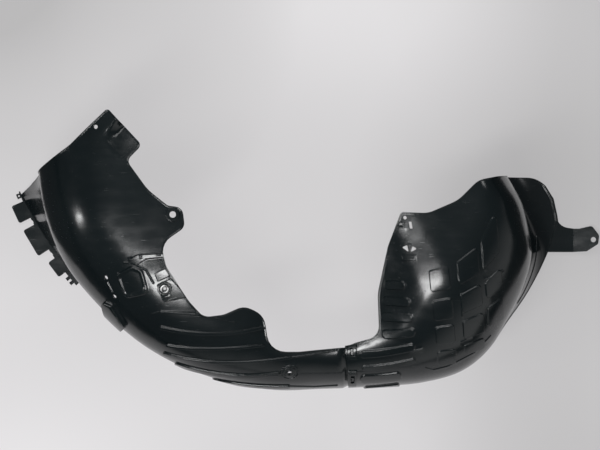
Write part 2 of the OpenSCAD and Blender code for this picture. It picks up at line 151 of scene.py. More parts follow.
def surface(u, w):
    """The outer face: w runs 0 to 1 over the wall, to 2 over the shoulder, to 3 down the tread."""
    s, tread, inner, along = section_line(u)
    outboard = polar(s[..., 4], TREAD_R + s[..., 5])
    flat = np.linalg.norm(tread - inner, axis=-1) - s[..., 8]
    top = WALL_H - s[..., 6]
    turn = np.radians(90 * (w - 1))
    reach = np.where(w < 1, flat * w, flat + s[..., 8] * np.sin(turn))
    down, up, foot = np.maximum(w - 2, 0), np.clip(3 - w, 0, 1), np.clip(s[..., 9], 0, 1)
    spread = down ** (TREAD_FLARE + FOOT_FLARE * foot)
    p = np.where((w < 2)[..., None], inner + along * reach[..., None],
                 tread + (outboard - tread) * spread[..., None])
    z = np.where(w < 1, top - WALL_DISH * (1 - w) ** 2,
                 np.where(w < 2, top - s[..., 7] * (1 - np.cos(turn)),
                          (top - s[..., 7] - WALL * foot) * up ** (1 + foot) + WALL * foot))
    d = p - FLAP_FOLD
    past, beside = (d[..., 0] + d[..., 1]) / sqrt(2), (d[..., 0] - d[..., 1]) / sqrt(2)
    angle = -np.degrees(np.arctan2(p[..., 0], -p[..., 1]))
    fold = FLAP_SLOPE * np.maximum(past, 0) * ramp(angle, *FLAP_ANGLES) * ramp(beside, *FLAP_FADE)
    return np.concatenate([p, (z - np.where(w < 1.5, fold, 0))[..., None]], -1)


def surface_normal(u, w, e=0.01):
    du = surface(np.minimum(u + e, LAST_U), w) - surface(np.maximum(u - e, 0), w)
    dw = surface(u, np.minimum(w + e, 3)) - surface(u, np.maximum(w - e, 0))
    return unit(np.cross(dw, du))


# The shell laid out flat, as a pattern for its ribs and edges

def spans(u):
    s, tread, inner, along = section_line(u)
    flat = np.linalg.norm(tread - inner, axis=-1) - s[..., 8]
    arc = pi / 2 * np.sqrt((s[..., 8] ** 2 + s[..., 7] ** 2) / 2)
    return inner, along, flat, s[..., 8], arc, WALL_H - s[..., 6] - s[..., 7]


def lay_flat(u, w):
    """Place in the flat pattern: the section's real length is measured outwards along its line."""
    inner, along, flat, width, arc, depth = spans(u)
    reach = np.where(w < 1, flat * w, np.where(w < 2, flat + arc * (w - 1),
                                               flat + arc + depth * (w - 2)))
    return inner + along * reach[..., None]


U_STEPS = np.linspace(0, LAST_U, 4 * LAST_U + 1)
INNER_STEPS, ALONG_STEPS = section_line(U_STEPS)[2:]
BEHIND = 60       # how far inside its inner edge a section's line still counts


def section_through(p):
    """The section whose line passes through a point of the plan or of the flat pattern."""
    d = p[:, None] - INNER_STEPS[None]
    off = cross2(d, ALONG_STEPS[None])
    ahead = dot(d, ALONG_STEPS[None]) > -BEHIND
    swap = (off[:, :-1] * off[:, 1:] <= 0) & ahead[:, :-1] & ahead[:, 1:]
    found = swap.any(1)
    k = np.where(found, swap.argmax(1), np.where(off[:, 0] * off[:, -1] > 0,
                 np.where(abs(off[:, 0]) < abs(off[:, -1]), 0, len(U_STEPS) - 2), 0))
    low, high = U_STEPS[k].copy(), U_STEPS[k + 1].copy()
    sign = np.sign(off[np.arange(len(p)), k])
    for _ in range(22):
        mid = (low + high) / 2
        inner, along = section_line(mid)[2:]
        same = np.sign(cross2(p - inner, along)) == sign
        low, high = np.where(same, mid, low), np.where(same, high, mid)
    return np.where(found, (low + high) / 2, np.where(k == 0, 0, LAST_U))


def from_plan(p):
    """(u, w) of a point seen along the wheel axis. Past the silhouette it runs down the tread."""
    p = np.asarray(p, float)
    u = section_through(p)
    inner, along, flat, width, arc, depth = spans(u)
    reach = dot(p - inner, along)
    past = (reach - flat) / width
    w = np.where(reach < flat, reach / flat, np.where(
        past < 1, 1 + np.degrees(np.arcsin(np.clip(past, 0, 1))) / 90,
        2 + (reach - flat - width) / depth))
    return u, w


def from_flat(p):
    u = section_through(p)
    inner, along, flat, width, arc, depth = spans(u)
    reach = dot(p - inner, along)
    w = np.where(reach < flat, reach / flat, np.where(
        reach < flat + arc, 1 + (reach - flat) / arc, 2 + (reach - flat - arc) / depth))
    return u, np.clip(w, 0, 3)


def pattern(plan):
    """An outline seen along the wheel axis, carried over to the flat pattern."""
    return lay_flat(*from_plan(plan))


# Outlines

def rounded(corners, n=5):
    """A closed outline whose corners x, y, r are rounded."""
    out = []
    for i, (x, y, r) in enumerate(corners):
        p = np.array([x, y], float)
        before, after = (np.array(corners[j % len(corners)][:2], float) for j in (i - 1, i + 1))
        if r == 0:
            out.append(p)
            continue
        a, b = unit(before - p), unit(after - p)
        half = acos(np.clip(a @ b, -1, 1)) / 2
        middle = p + unit(a + b) * r / sin(half)
        start, end = (p + v * r / tan(half) - middle for v in (a, b))
        first = atan2(start[1], start[0])
        sweep = (atan2(end[1], end[0]) - first + 3 * pi) % (2 * pi) - pi
        out += [middle + r * np.array([cos(first + sweep * k / n), sin(first + sweep * k / n)])
                for k in range(n + 1)]
    return np.array(out)


def bow(a, m, b, n=10):
    t = np.linspace(0, 1, n + 1)[:, None]
    a, m, b = (np.array(v, float) for v in (a, m, b))
    return a * (1 - t) * (1 - 2 * t) + 4 * m * t * (1 - t) + b * t * (2 * t - 1)


def band(path, width, n=8):
    """A round-ended band along a path."""
    path = np.asarray(path, float)
    d = unit(np.vstack([path[1:2] - path[:1], path[2:] - path[:-2], path[-1:] - path[-2:-1]]))
    side = np.stack([-d[:, 1], d[:, 0]], -1) * width / 2

    def cap(middle, v, way):
        a = atan2(v[1], v[0]) + way * np.linspace(0, pi, n + 1)[1:-1]
        return middle + width / 2 * circular(a)
    return np.vstack([path + side, cap(path[-1], side[-1], -1), (path - side)[::-1],
                      cap(path[0], -side[0], -1)])


def filled(line, step, closed=True):
    """Points no further apart than step along an outline."""
    line = np.asarray(line, float)
    ends = np.roll(line, -1, 0) if closed else line[1:]
    out = []
    for a, b in zip(line, ends):
        n = max(1, int(np.ceil(np.linalg.norm(b - a) / step)))
        out += [a + (b - a) * k / n for k in range(n)]
    return np.array(out if closed else out + [line[-1]])


def moved_in(loop, d):
    """A closed outline moved inwards by d, or outwards where d is negative."""
    ahead, back = unit(np.roll(loop, -1, 0) - loop), unit(loop - np.roll(loop, 1, 0))
    area = cross2(loop, np.roll(loop, -1, 0)).sum()
    t = unit(ahead + back)
    n = np.stack([-t[:, 1], t[:, 0]], -1) * (1 if area > 0 else -1)
    stretch = 1 / np.maximum(np.sqrt((1 + dot(ahead, back)) / 2), 0.5)
    return loop + n * (d * stretch)[:, None]


def squared_gap(p, s, e):
    """Squared distance of points from the straight line between two ends."""
    d, v = p - s, e - s
    t = np.clip(d @ v / max(v @ v, 1e-12), 0, 1)
    return ((d - t[:, None] * v) ** 2).sum(1)


def distance_in(p, loop):
    """How far each point lies inside a closed outline; negative outside it."""
    best = np.full(len(p), 1e9)
    for s, e in zip(loop, np.roll(loop, -1, 0)):
        best = np.minimum(best, squared_gap(p, s, e))
    best = np.sqrt(best)
    return np.where(within(p, loop), best, -best)


def within(p, loop):
    """Which points lie inside a closed outline."""
    inside = np.zeros(len(p), bool)
    for s, e in zip(loop, np.roll(loop, -1, 0)):
        if s[1] != e[1]:
            hit = (s[1] > p[:, 1]) != (e[1] > p[:, 1])
            inside ^= hit & (p[:, 0] < s[0] + (p[:, 1] - s[1]) * (e[0] - s[0]) / (e[1] - s[1]))
    return inside


def side_of(p, line):
    """Signed distance to an open line: positive on its right, where the plastic is."""
    best, sign = np.full(len(p), 1e18), np.ones(len(p))
    for s, e in zip(line[:-1], line[1:]):
        far = squared_gap(p, s, e)
        near = far < best - 1e-12
        best = np.where(near, far, best)
        sign = np.where(near, -np.sign(cross2(e - s, p - s)), sign)
    return np.sqrt(best) * sign


# Relief: what stands proud of the wall or is sunk in it

class Proud:
    """A rib, pad or panel: an outline in the flat pattern, a height and the width of its side."""

    def __init__(self, outline, height, soft=SOFT, tilt=(0, 0), step=2.0):
        self.loop, self.height, self.soft = filled(outline, step), height, soft
        self.low, self.high = self.loop.min(0) - 0.1, self.loop.max(0) + 0.1
        self.middle, self.tilt = self.loop.mean(0), np.array(tilt, float)

    def guides(self):
        return [(moved_in(self.loop, self.soft * k), True) for k in (-0.3, 0, 0.5, 1, 1.3)]

    def add_to(self, relief, flat, solid):
        near = ((flat > self.low) & (flat < self.high)).all(1)
        if near.any():
            d = distance_in(flat[near], self.loop)
            slope = (flat[near] - self.middle) @ self.tilt
            rise = (self.height + slope) * ramp(d, 0, self.soft)
            old = relief[near]
            relief[near] = np.maximum(old, rise) if self.height > 0 else old + rise


def panel(corners, height, soft=SOFT, tilt=(0, 0), step=1.5, n=5):
    """A pad, block or recess whose corners x, y, r are given as seen along the wheel axis."""
    return Proud(pattern(filled(rounded(corners, n), step)), height, soft, tilt)


class Lip:
    """A bead along the trimmed edge, over a span of u and w of the shell."""

    def __init__(self, outline, height, width, u_span, w_most):
        self.loop, self.height, self.width = outline, height, width
        self.u_span, self.w_most = u_span, w_most

    def guides(self):
        return [(moved_in(self.loop, self.width * k), True) for k in (0.45, 0.7, 1, 1.2)]

    def add_to(self, relief, flat, solid):
        u, w = from_flat(flat)
        near = (u > self.u_span[0]) & (u < self.u_span[1]) & (w < self.w_most)
        d = distance_in(flat[near], self.loop)
        rise = self.height * (1 - ramp(d, self.width * 0.45, self.width))
        relief[near] = np.maximum(relief[near], rise)


class Disc:
    """A round seat, ring or dimple about a place on the shell: radii and the heights there."""

    def __init__(self, plan, steps, bore=0.0):
        u, w = from_plan(np.array([plan], float))
        self.flat, self.bore = lay_flat(u, w)[0], bore
        self.middle, self.normal = surface(u, w)[0], surface_normal(u, w)[0]
        # How the flat pattern is stretched there, so that a circle comes out round on the shell
        e = 0.5
        around = np.array([[e, 0], [-e, 0], [0, e], [0, -e]]) + self.flat
        s = surface(*from_flat(around))
        slope = np.stack([(s[0] - s[1]), (s[2] - s[3])], -1) / (2 * e)
        a = unit(np.cross([0.0, 1.0, 0.0], self.normal))
        across = np.stack([a, np.cross(self.normal, a)], -1)
        self.to_flat = np.linalg.pinv(slope) @ across
        self.radii = np.array([r for r, _ in steps], float)
        self.heights = np.array([h for _, h in steps], float)

    def circle(self, r):
        a = np.linspace(0, 2 * pi, max(24, int(2 * pi * r / 1.2)), endpoint=False)
        return self.flat + r * circular(a) @ self.to_flat.T

    def guides(self):
        radii = [r for r in self.radii if r > self.bore + 0.3] + [self.radii[-1] + 0.4]
        for k, (near, far) in enumerate(zip(self.radii[:-1], self.radii[1:])):
            if far - near > 0.9 and abs(self.heights[k + 1] - self.heights[k]) < 0.2:
                radii += [near + 0.3, far - 0.3]
        return [(self.circle(r), True) for r in radii]

    def add_to(self, relief, flat, solid):
        d = solid - self.middle
        flat_d = d - (d @ self.normal)[:, None] * self.normal
        r = np.linalg.norm(flat_d, axis=1)
        near = (r < self.radii[-1]) & (abs(d @ self.normal) < 12)
        if near.any():
            here = np.interp(r[near], self.radii, self.heights)
            relief[near] = np.where(r[near] < self.radii[-1] - 0.2, here, relief[near])


# Low swells and hollows of the moulding, as real ones warp on cooling: place, height, radius
SWELLS = [((-288, -190), 3.2, 30), ((150, -274), 2.9, 32), ((-240, -120), -1.2, 45),
          ((-215, -170), 1.0, 40), ((-170, -345), 0.9, 40), ((-90, -360), -0.8, 45),
          ((90, -330), 0.8, 40), ((205, -230), -1.8, 42), ((215, -300), -1.0, 45),
          ((160, -350), 1.0, 45), ((240, -200), -0.6, 40)]
SEAM_CALM = 0.6


def swell(p, u):
    """How far the skin swells at a point; nothing at the seam, where the sections fit."""
    rise = np.zeros(len(p))
    for middle, height, radius in SWELLS:
        d = p[:, :2] - np.array(middle, float)
        rise += height * np.exp(-dot(d, d) / (2 * radius ** 2))
    return rise * (1 - np.exp(-((u - SEAM_U) / SEAM_CALM) ** 2))


# Sheets, and the walls made from them. A guide line keeps clear of the edges, and the points
# that fill the rest keep clear of all lines by a share of their gap.
CLEAR_OF_EDGE, FILL_SPACE = 1.0, 0.55

def nearest(points):
    tree = KDTree(len(points))
    for i, p in enumerate(points):
        tree.insert((p[0], p[1], 0), i)
    tree.balance()
    return tree


def loop_edges(first, n):
    return [(first + i, first + (i + 1) % n) for i in range(n)]


def cut_out(flat, faces, is_plastic):
    """The triangles whose middle is plastic, all turned the same way, and the points they use."""
    a, b, c = (flat[faces[:, i]] for i in range(3))
    area = cross2(b - a, c - a)
    keep = is_plastic(flat[faces].mean(1)) & (abs(area) > 1e-4)
    faces = np.where((area < 0)[:, None], faces[:, ::-1], faces)[keep]
    used = np.unique(faces)
    again = np.full(len(flat), -1)
    again[used] = np.arange(len(used))
    return flat[used], again[faces]


def triangulate(outline, holes, guides, gap):
    """Triangles of a sheet inside its outline and outside its holes, with edges along guides."""
    points, edges = [], []

    def is_plastic(p):
        inside = within(p, outline)
        for h in holes:
            inside &= ~within(p, h)
        return inside

    for loop in [outline] + holes:
        edges += loop_edges(len(points), len(loop))
        points.extend(loop)
    tree = nearest(points)
    for loop, closed in guides:
        keep = is_plastic(loop)
        keep &= np.array([tree.find((p[0], p[1], 0))[2] > CLEAR_OF_EDGE for p in loop])
        at = len(points) + np.cumsum(keep) - 1
        points.extend(loop[keep])
        n = len(loop)
        edges.extend((at[i], at[(i + 1) % n]) for i in range(n if closed else n - 1)
                     if keep[i] and keep[(i + 1) % n])
    tree = nearest(points)
    low, high = outline.min(0), outline.max(0)
    fill = []
    for k, y in enumerate(np.arange(low[1], high[1], gap * sqrt(3) / 2)):
        row = np.arange(low[0] + (k % 2) * gap / 2, high[0], gap)
        fill.append(np.stack([row, np.full(len(row), y)], -1))
    fill = np.concatenate(fill)
    fill = fill[within(fill, outline)]
    points.extend(p for p in fill if tree.find((p[0], p[1], 0))[2] > gap * FILL_SPACE)
    verts, _, faces = delaunay_2d_cdt([Vector(p) for p in points], edges, [], 0, 1e-4, False)[:3]
    return cut_out(np.array([tuple(v) for v in verts]), np.array(faces), is_plastic)


def rim_of(faces):
    """The sheet's boundary, as directed edges with the sheet on their left."""
    e = np.concatenate([faces[:, [0, 1]], faces[:, [1, 2]], faces[:, [2, 0]]])
    have = set(map(tuple, e))
    return np.array([p for p in have if (p[1], p[0]) not in have])


def thin_wall(name, faces, outer, inner, normal, wall_normal, edge=EDGE):
    """A closed moulding between two faces, with rounded edges and normals that shade them."""
    n = len(outer)
    rim = np.array(sorted(map(tuple, rim_of(faces))))
    out_dir = np.zeros((n, 3))
    for a, b in rim:
        t = unit(outer[b] - outer[a])
        for i in (a, b):
            out_dir[i] += np.cross(t, wall_normal[i])
    out_dir = unit(out_dir)
    on_rim = np.unique(rim)
    order = np.full(n, -1)
    order[on_rim] = np.arange(len(on_rim))
    o, i_, t, w = outer[on_rim], inner[on_rim], out_dir[on_rim], wall_normal[on_rim]
    outer, inner = outer.copy(), inner.copy()
    outer[on_rim] -= t * edge
    inner[on_rim] -= t * edge
    k = 1 - sqrt(0.5)
    rings = [(o - t * edge * k - w * edge * k, unit(t + w)), (o - w * edge, t),
             (i_ + w * edge, t), (i_ - t * edge * k + w * edge * k, unit(t - w))]
    verts = np.concatenate([outer, inner] + [r[0] for r in rings])
    verts[:, 2] = np.maximum(verts[:, 2], 0)    # nothing reaches below what the liner lies on
    normals = np.concatenate([normal, -wall_normal] + [r[1] for r in rings])
    m = len(on_rim)
    all_faces = [tuple(f) for f in faces] + [tuple(f[::-1] + n) for f in faces]
    a, b = rim[:, 0], rim[:, 1]
    rows = [(a, b)] + [(2 * n + k * m + order[a], 2 * n + k * m + order[b]) for k in range(4)]
    rows.append((a + n, b + n))
    for (a0, b0), (a1, b1) in zip(rows[:-1], rows[1:]):
        all_faces += [tuple(f) for f in np.stack([a0, a1, b1, b0], -1)]
    return moulding(name, verts, all_faces, normals)


def added(name, data):
    made = bpy.data.objects.new(name, data)
    bpy.context.collection.objects.link(made)
    return made


def moulding(name, verts, faces, normals=None):
    mesh = bpy.data.meshes.new(name)
    mesh.from_pydata([tuple(v) for v in (verts - MIDDLE) * MM], [], [tuple(map(int, f)) for f in faces])
    mesh.update()
    mesh.polygons.foreach_set("use_smooth", [True] * len(mesh.polygons))
    if normals is not None:
        mesh.normals_split_custom_set_from_vertices([tuple(v) for v in normals])
    return added(name, mesh)


def liner(name, outline, holes, relief, step_down, gap=6.0, extra_guides=()):
    """A section of the liner: the trimmed, ribbed shell with its bores."""
    guides = [g for r in relief for g in r.guides()] + list(extra_guides)
    flat, faces = triangulate(outline, holes, guides, gap)
    u, w = from_flat(flat)

    def skin(u, w):
        s, n = surface(u, w), surface_normal(u, w)
        height = np.zeros(len(u))
        f = lay_flat(u, w)
        for r in relief:
            r.add_to(height, f, s)
        return s, n, s + n * (step_down(u) + height + swell(s, u))[:, None]
    s, n, outer = skin(u, w)
    e = 0.0025
    du = (skin(np.minimum(u + e, LAST_U), w)[2] - skin(np.maximum(u - e, 0), w)[2])
    dw = (skin(u, np.minimum(w + e, 3))[2] - skin(u, np.maximum(w - e, 0))[2])
    normal = unit(np.cross(dw, du))
    inner = s + n * (step_down(u) + swell(s, u) - WALL)[:, None]
    return thin_wall(name, faces, outer, inner, normal, n)


# Edges of the two sections

def trimmed(edge, first_u, last_u, tread_span, cut_at_start):
    """The closed outline of a section in the flat pattern: its cut tread wall, its inner edge,
    the straight end where it meets the other section, and its outboard edge."""
    line = filled(rounded(edge), 2.0, closed=False)
    # Where the cut crosses the tread wall, closely spaced on the flat foot
    w = 3 - np.linspace(1, 0, 48) ** (1 if cut_at_start else 2.5)
    low, high = (np.full(len(w), float(v)) for v in tread_span)
    for _ in range(30):
        mid = (low + high) / 2
        cut = side_of(surface(mid, w)[:, :2], line) < 0
        low, high = np.where(cut, mid, low), np.where(cut, high, mid)
    tread_u = (low + high) / 2
    u, v = from_plan(line)
    keep = (v < 1.995) & (u > first_u) & (u < last_u)
    u, v = u[keep], np.maximum(v[keep], 0)
    if not cut_at_start:
        u, v = u[::-1], v[::-1]
    end = last_u if cut_at_start else first_u
    down = np.linspace(v[-1], 3, 50)[1:]
    row = np.linspace(end, tread_u[-1], 160)[1:-1]
    us = np.concatenate([tread_u[::-1], u, np.full(1 + len(down), end), row])
    ws = np.concatenate([w[::-1], v, v[-1:], down, np.full(len(row), 3.0)])
    return lay_flat(us, ws)


FRONT_RIBS = [
    ((-191, -312), (-168, -313), (-138, -315), RIB_W),
    ((-191, -332), (-126, -340), (-66, -333), RIB_W + 1),
    ((-185, -355), (-126, -359), (-64, -355), RIB_W),
    ((-190, -366), (-116, -377), (-30, -371), RIB_W),
    ((-176, -381), (-107, -395), (-46, -392), RIB_W + 1),
    ((-130, -403), (-80, -410), (-32, -411), RIB_W)]
# Pads and panels of the bracket on the front lobe: outline, height, side, and slope in x and y
FRONT_PADS = [
    ([(-248, -265, 6), (-226, -253, 8), (-213, -259, 8), (-204, -290, 9), (-237, -297, 8)],
     RIB_H, 2.4, (0, 0)),
    ([(-245.5, -266.5, 6), (-226.5, -256.5, 8), (-215, -261, 8), (-207, -287.5, 9),
      (-235.5, -294, 8)], -1.3, 4.2, (0, 0)),
    ([(-236, -249, 3), (-219, -240, 4), (-178, -238, 2), (-178, -244, 2), (-208, -247, 4),
      (-221, -255, 3)], RIB_H, 1.6, (0, 0.12)),
    ([(-199, -264, 1), (-185, -257.5, 1), (-179, -267, 1), (-195, -275, 1)],
     1.6, 0.9, (0.09, 0.13)),
    ([(-196, -278, 2), (-178, -270, 2), (-157, -294, 2), (-188, -300, 3)],
     1.5, 0.9, (0.05, 0.08)),
    ([(-187, -291, 0.8), (-178.5, -288.5, 0.8), (-177.5, -292, 0.8), (-186, -294.5, 0.8)],
     2.8, 0.8, (0, 0)),
    ([(-216, -254, 1), (-203, -247.5, 3), (-189, -249, 2), (-185.5, -256, 1), (-199, -262.5, 2)],
     -1.1, 1.0, (0, 0)),
    ([(-232, -244.5, 0.6), (-228, -242.8, 0.6), (-226, -246.8, 0.6), (-230, -248.5, 0.6)],
     3.4, 0.8, (0, 0)),
    ([(-217.5, -240.5, 0.6), (-213, -240, 0.6), (-213, -246, 0.6), (-217.5, -246.5, 0.6)],
     3.4, 0.8, (0, 0)),
    ([(-197, -239.3, 0.6), (-190, -239, 0.6), (-190, -243, 0.6), (-197, -243.5, 0.6)],
     3.2, 0.8, (0, 0))]
BLOCK_H = 5.0
SHOULDER_BLOCK = [(-268, -299, 3), (-254, -304, 3), (-236, -332, 3), (-262, -350, 3)]
# Thin beads and creases: points seen along the wheel axis, width, height
FRONT_LINES = [
    ([(-237, -250.5), (-223, -252), (-209, -260), (-200, -276)], 3.2, 1.2),
    ([(-259.5, -275.5), (-253, -288.5)], 2.0, 0.9),
    ([(-197, -303), (-182, -298), (-166, -292)], 2.0, 1.2),
    ([(-263, -92), (-247, -107), (-231, -126)], 1.8, -1.0),
    ([(-203, -313.5), (-192, -312)], 1.8, 0.8),
    ([(-66, -334), (-62, -333.5)], 3.0, 1.2),
    ([(-30, -371), (-8, -368.5), (28, -362)], 2.6, 1.1),
    ([(-34, -411), (0, -412.5), (30, -410.5)], 2.6, 1.1),
    ([(-138, -315.5), (-118, -322), (-100, -326)], 1.8, 0.8)]
REAR_RIBS = [
    ((93, -279), (103, -279), (109, -279), WIDE_RIB_W),
    ((91, -299), (103, -299.5), (115, -300), WIDE_RIB_W),
    ((90, -319), (105, -319.5), (118, -320), WIDE_RIB_W),
    ((91, -341), (107, -340), (121, -338), WIDE_RIB_W),
    ((62, -367), (90, -364), (122, -357), WIDE_RIB_W - 2),
    ((64, -385), (92, -382), (125, -374.5), 2 * RIB_W),
    ((64, -400), (84, -399), (106, -396), WIDE_RIB_W),
    ((68, -416.5), (88, -414.5), (108, -411.5), 2 * RIB_W)]
# Raised fields: their rows are arcs about FIELD_MIDDLE, their columns lean a little
FIELD_MIDDLE, FIELD_TOP, FIELD_LEAN = (128, -150), -255, 0.12
FIELD_COLUMNS = [(141, 166), (176, 205), (210, 234)]
FIELD_ROWS = [[(111, 138), (148, 174), (181, 204.5), (212, 232)],
              [(111, 138), (148, 172), (180, 204), (210, 224)],
              [(111, 138), (150, 170), (178, 203)]]
FIELD_CORNER = 4
FLAP_HOLE, EAR_HOLE, RING_HOLE, CROWN_HOLE = (-272, -82), (-176, -191), (-186, -283), (-31, -391)
# Radii and heights of the raised ring on the bracket and of the boss on the crown
RING_STEPS = [(2, 0.9), (2.7, 1.0), (3.1, 3.3), (5.3, 3.3), (5.8, 1.0), (6.8, 0.6), (7.3, 1.4),
              (8.6, 1.3), (9.1, 0)]
CROWN_STEPS = [(3, 1.8), (4.6, 1.8), (5.2, 1.2), (8.8, 1.1), (9.2, 0.4), (10.3, 0.4), (10.7, 1.2),
               (11.7, 1.2), (12.2, 0.7), (12.5, 0)]
SMALL_HOLES = [(-261, -270), (-251, -294)]
CORNER_HOLE = (112, -195)
CORNER_SLOT = [(116.5, -200, 0.5), (120, -200, 0.5), (121.5, -208.5, 0.5), (118, -208.5, 0.5)]
CORNER_BLOCK = [(104, -200, 0.5), (112, -200, 0.5), (112, -208, 0.5), (102, -208, 0.5)]
BLOCK_POCKET = [(105, -201.6, 0.5), (110.4, -201.6, 0.5), (110.4, -206.4, 0.5), (104, -206.4, 0.5)]
HOOK_WINDOWS = [[(108.5, -232, 0.8), (115, -229, 0.8), (117.3, -238, 0.8)],
                [(119.2, -238, 0.8), (121.5, -230.3, 0.8), (127, -233.5, 0.8)]]
HOOK = [(115.5, -227, 0.8), (121, -227, 0.8), (118.8, -239, 0.5), (117.7, -239, 0.5)]
HOOK_PANEL = [(109, -240, 1.5), (127, -240, 1.5), (127, -248.5, 1.5), (109, -248.5, 1.5)]
GUSSET_H = 7.0
GUSSET = [(299, -212, 1.2), (305, -213, 1.2), (313, -236, 1.2), (306, -238, 1.2)]
REAR_LINES = [
    ([(141, -190), (131, -196), (123, -207)], 1.8, -1.0),
    ([(131.5, -265), (135.5, -284), (137.5, -307)], 1.8, -0.9),
    ([(176.3, -251), (181.3, -275)], 2.0, 1.0),
    ([(181.8, -288.7), (183.8, -317)], 2.0, 1.0),
    ([(208.7, -236.4), (211.2, -259.6)], 2.0, 1.0),
    ([(213.7, -272.5), (225, -268), (236, -261)], 2.0, 0.9),
    ([(218.7, -330), (231, -318.6)], 2.0, 0.9),
    ([(183.8, -351), (205, -340.3)], 2.0, 0.9),
    ([(141.5, -384.6), (151.4, -387.6), (168.9, -383.4), (203.8, -366), (216.2, -353.5),
      (224.9, -344.8)], 2.4, 1.0),
    ([(120, -363), (136, -358)], 1.8, 0.8)]
# The two latches of the seam: their places, the frame round each window, the window, the catch
LATCHES = [(47.5, -364), (49, -399)]
LATCH_FRAME, LATCH_WINDOW, LATCH_H = (12, 20), (4.3, 9.8), 3.0
CATCH_W, CATCH_L, CATCH_H = 3.5, 9.0, 3.0
LIP_H, LIP_W = 0.7, 2.4
JOGGLE = (0.15, 0.12)     # how far before the seam, and over how much of u, the skin steps down


SQUARE = ((-1, -1), (1, -1), (1, 1), (-1, 1))


def box_outline(middle, width, length, r=0.8):
    (x, y), a, b = middle, width / 2, length / 2
    return rounded([(x + a * i, y + b * j, r) for i, j in SQUARE], 3)


def seat(plan, r, bore, height=SEAT_H):
    return Disc(plan, [(bore, height), (r - 0.9, height), (r - 0.6, height * 0.85),
                       (r - 0.25, height * 0.3), (r, 0)], bore)


def ribs(table, soft=SOFT):
    return [Proud(pattern(filled(band(bow(a, m, b), w), 2)), RIB_H, soft) for a, m, b, w in table]


def line_relief(table):
    """Thin beads and creases of the moulding."""
    return [Proud(pattern(filled(band(filled(path, 4, False), width), 1.5)), height, width * 0.42)
            for path, width, height in table]


def front_liner():
    relief = ribs(FRONT_RIBS)
    relief += [panel(*pad) for pad in FRONT_PADS]
    relief += line_relief(FRONT_LINES)
    relief.append(panel(SHOULDER_BLOCK, BLOCK_H, 0.8, step=2))
    bores = [seat(EAR_HOLE, 9, 4), Disc(RING_HOLE, RING_STEPS, 2), Disc(CROWN_HOLE, CROWN_STEPS, 3)]
    small = [Disc(p, [(2.5, 0), (2.6, 0)], 2.5) for p in SMALL_HOLES + [FLAP_HOLE]]
    outline = trimmed(FRONT_EDGE, 0.0, LAP_U, (0.0, 3.0), True)
    relief.append(Lip(outline, LIP_H, LIP_W, (-1, SEAM_U - 0.2), 2.6))
    holes = [b.circle(b.bore) for b in bores + small]
    before, over = JOGGLE

    def joggle(u):
        return -(WALL + LAP_GAP) * np.clip((u - SEAM_U + before) / over, 0, 1)
    lines = [(lay_flat(np.full(80, SEAM_U + d), np.linspace(0, 3, 80)), False)
             for d in (-0.15, -0.12, -0.06, -0.03)]
    return liner("front_liner", outline, holes, relief + bores, joggle, extra_guides=lines)


# Beads along the tread wall of the rear lobe: place down the wall, first and last place along it
BEAD_H = 0.9
TREAD_BEADS = [(2.18, (14.6, 17.6)), (2.5, (15.0, 17.9)), (2.8, (15.6, 17.9))]


def wall_line(w, u0, u1, half=0.012):
    """Outline of a bead that runs along the tread wall at a place down it."""
    u = np.linspace(u0, u1, 60)
    ends = np.minimum(np.linspace(0, 1, 60), np.linspace(1, 0, 60)) * 20
    wide = half * np.minimum(ends + 0.2, 1)
    return np.concatenate([u, u[::-1]]), np.concatenate([w + wide, (w - wide)[::-1]])


def rear_liner():
    relief = ribs(REAR_RIBS, WIDE_SOFT)
    for x, rows in zip(FIELD_COLUMNS, FIELD_ROWS):
        for r in rows:
            corners = [(x[0], r[0]), (x[1], r[0]), (x[1], r[1]), (x[0], r[1])]
            field = []
            for a, b in corners:
                y = FIELD_MIDDLE[1] - sqrt(b * b - (a - FIELD_MIDDLE[0]) ** 2)
                field.append((a + FIELD_LEAN * (FIELD_TOP - y), y, FIELD_CORNER))
            relief.append(panel(field, PAD_H, 1.2, step=2))
    relief += [Proud(pattern(filled(box_outline(p, *LATCH_FRAME), 2)), LATCH_H) for p in LATCHES]
    relief += line_relief(REAR_LINES)
    for corners, height, soft in ((CORNER_BLOCK, 1.6, 0.7), (BLOCK_POCKET, -1.3, 0.6),
                                  (HOOK_PANEL, 1.6, 1.4), (HOOK, 2.0, 0.8)):
        relief.append(panel(corners, height, soft, step=1.0, n=3))
    relief.append(panel(GUSSET, GUSSET_H, 1.6, n=3))
    relief += [Proud(lay_flat(*wall_line(w, *span)), BEAD_H, 0.9) for w, span in TREAD_BEADS]
    holes = [Disc(CORNER_HOLE, [(2.25, 0)], 2.25).circle(2.25)]
    holes += [pattern(box_outline(p, *LATCH_WINDOW, 0.5)) for p in LATCHES]
    holes += [pattern(filled(rounded(h, 3), 1.0)) for h in HOOK_WINDOWS + [CORNER_SLOT]]
    outline = trimmed(REAR_EDGE, SEAM_U, LAST_U, (LAST_U, 17.0), False)
    relief.append(Lip(outline, LIP_H, LIP_W, (SEAM_U + 0.15, LAST_U + 1), 3.1))
    return liner("rear_liner", outline, holes, relief, lambda u: np.zeros(len(u)))


# Plates: the slotted front flange and the rear flange with its lug

PLATE_EDGE = 0.4     # radius of their edges
# Angles of each tab and its reach past the flange, then the angles of the notches and the teeth
TABS = [(-66.6, -63.3, 17), (-61.9, -56.7, 17), (-54.8, -51.6, 11)]
NOTCHES, NOTCH_W = (-62.5, -55.7), 9.0
TEETH = [(-68.2, -67.3), (-50.7, -50.1), (-49.7, -49.1)]
FLANGE_ENDS = (-68.5, -48.5)
PIN_HOLE, PIN_HOLE_R = (-67.75, FLANGE_R + 2), 1.3
LUG_X, LUG_LOW, LUG_HIGH = 356.0, -241.0, -209.0
LUG_HOLE, LUG_HOLE_R = (LUG_X + 27, LUG_LOW + 17), 3.5


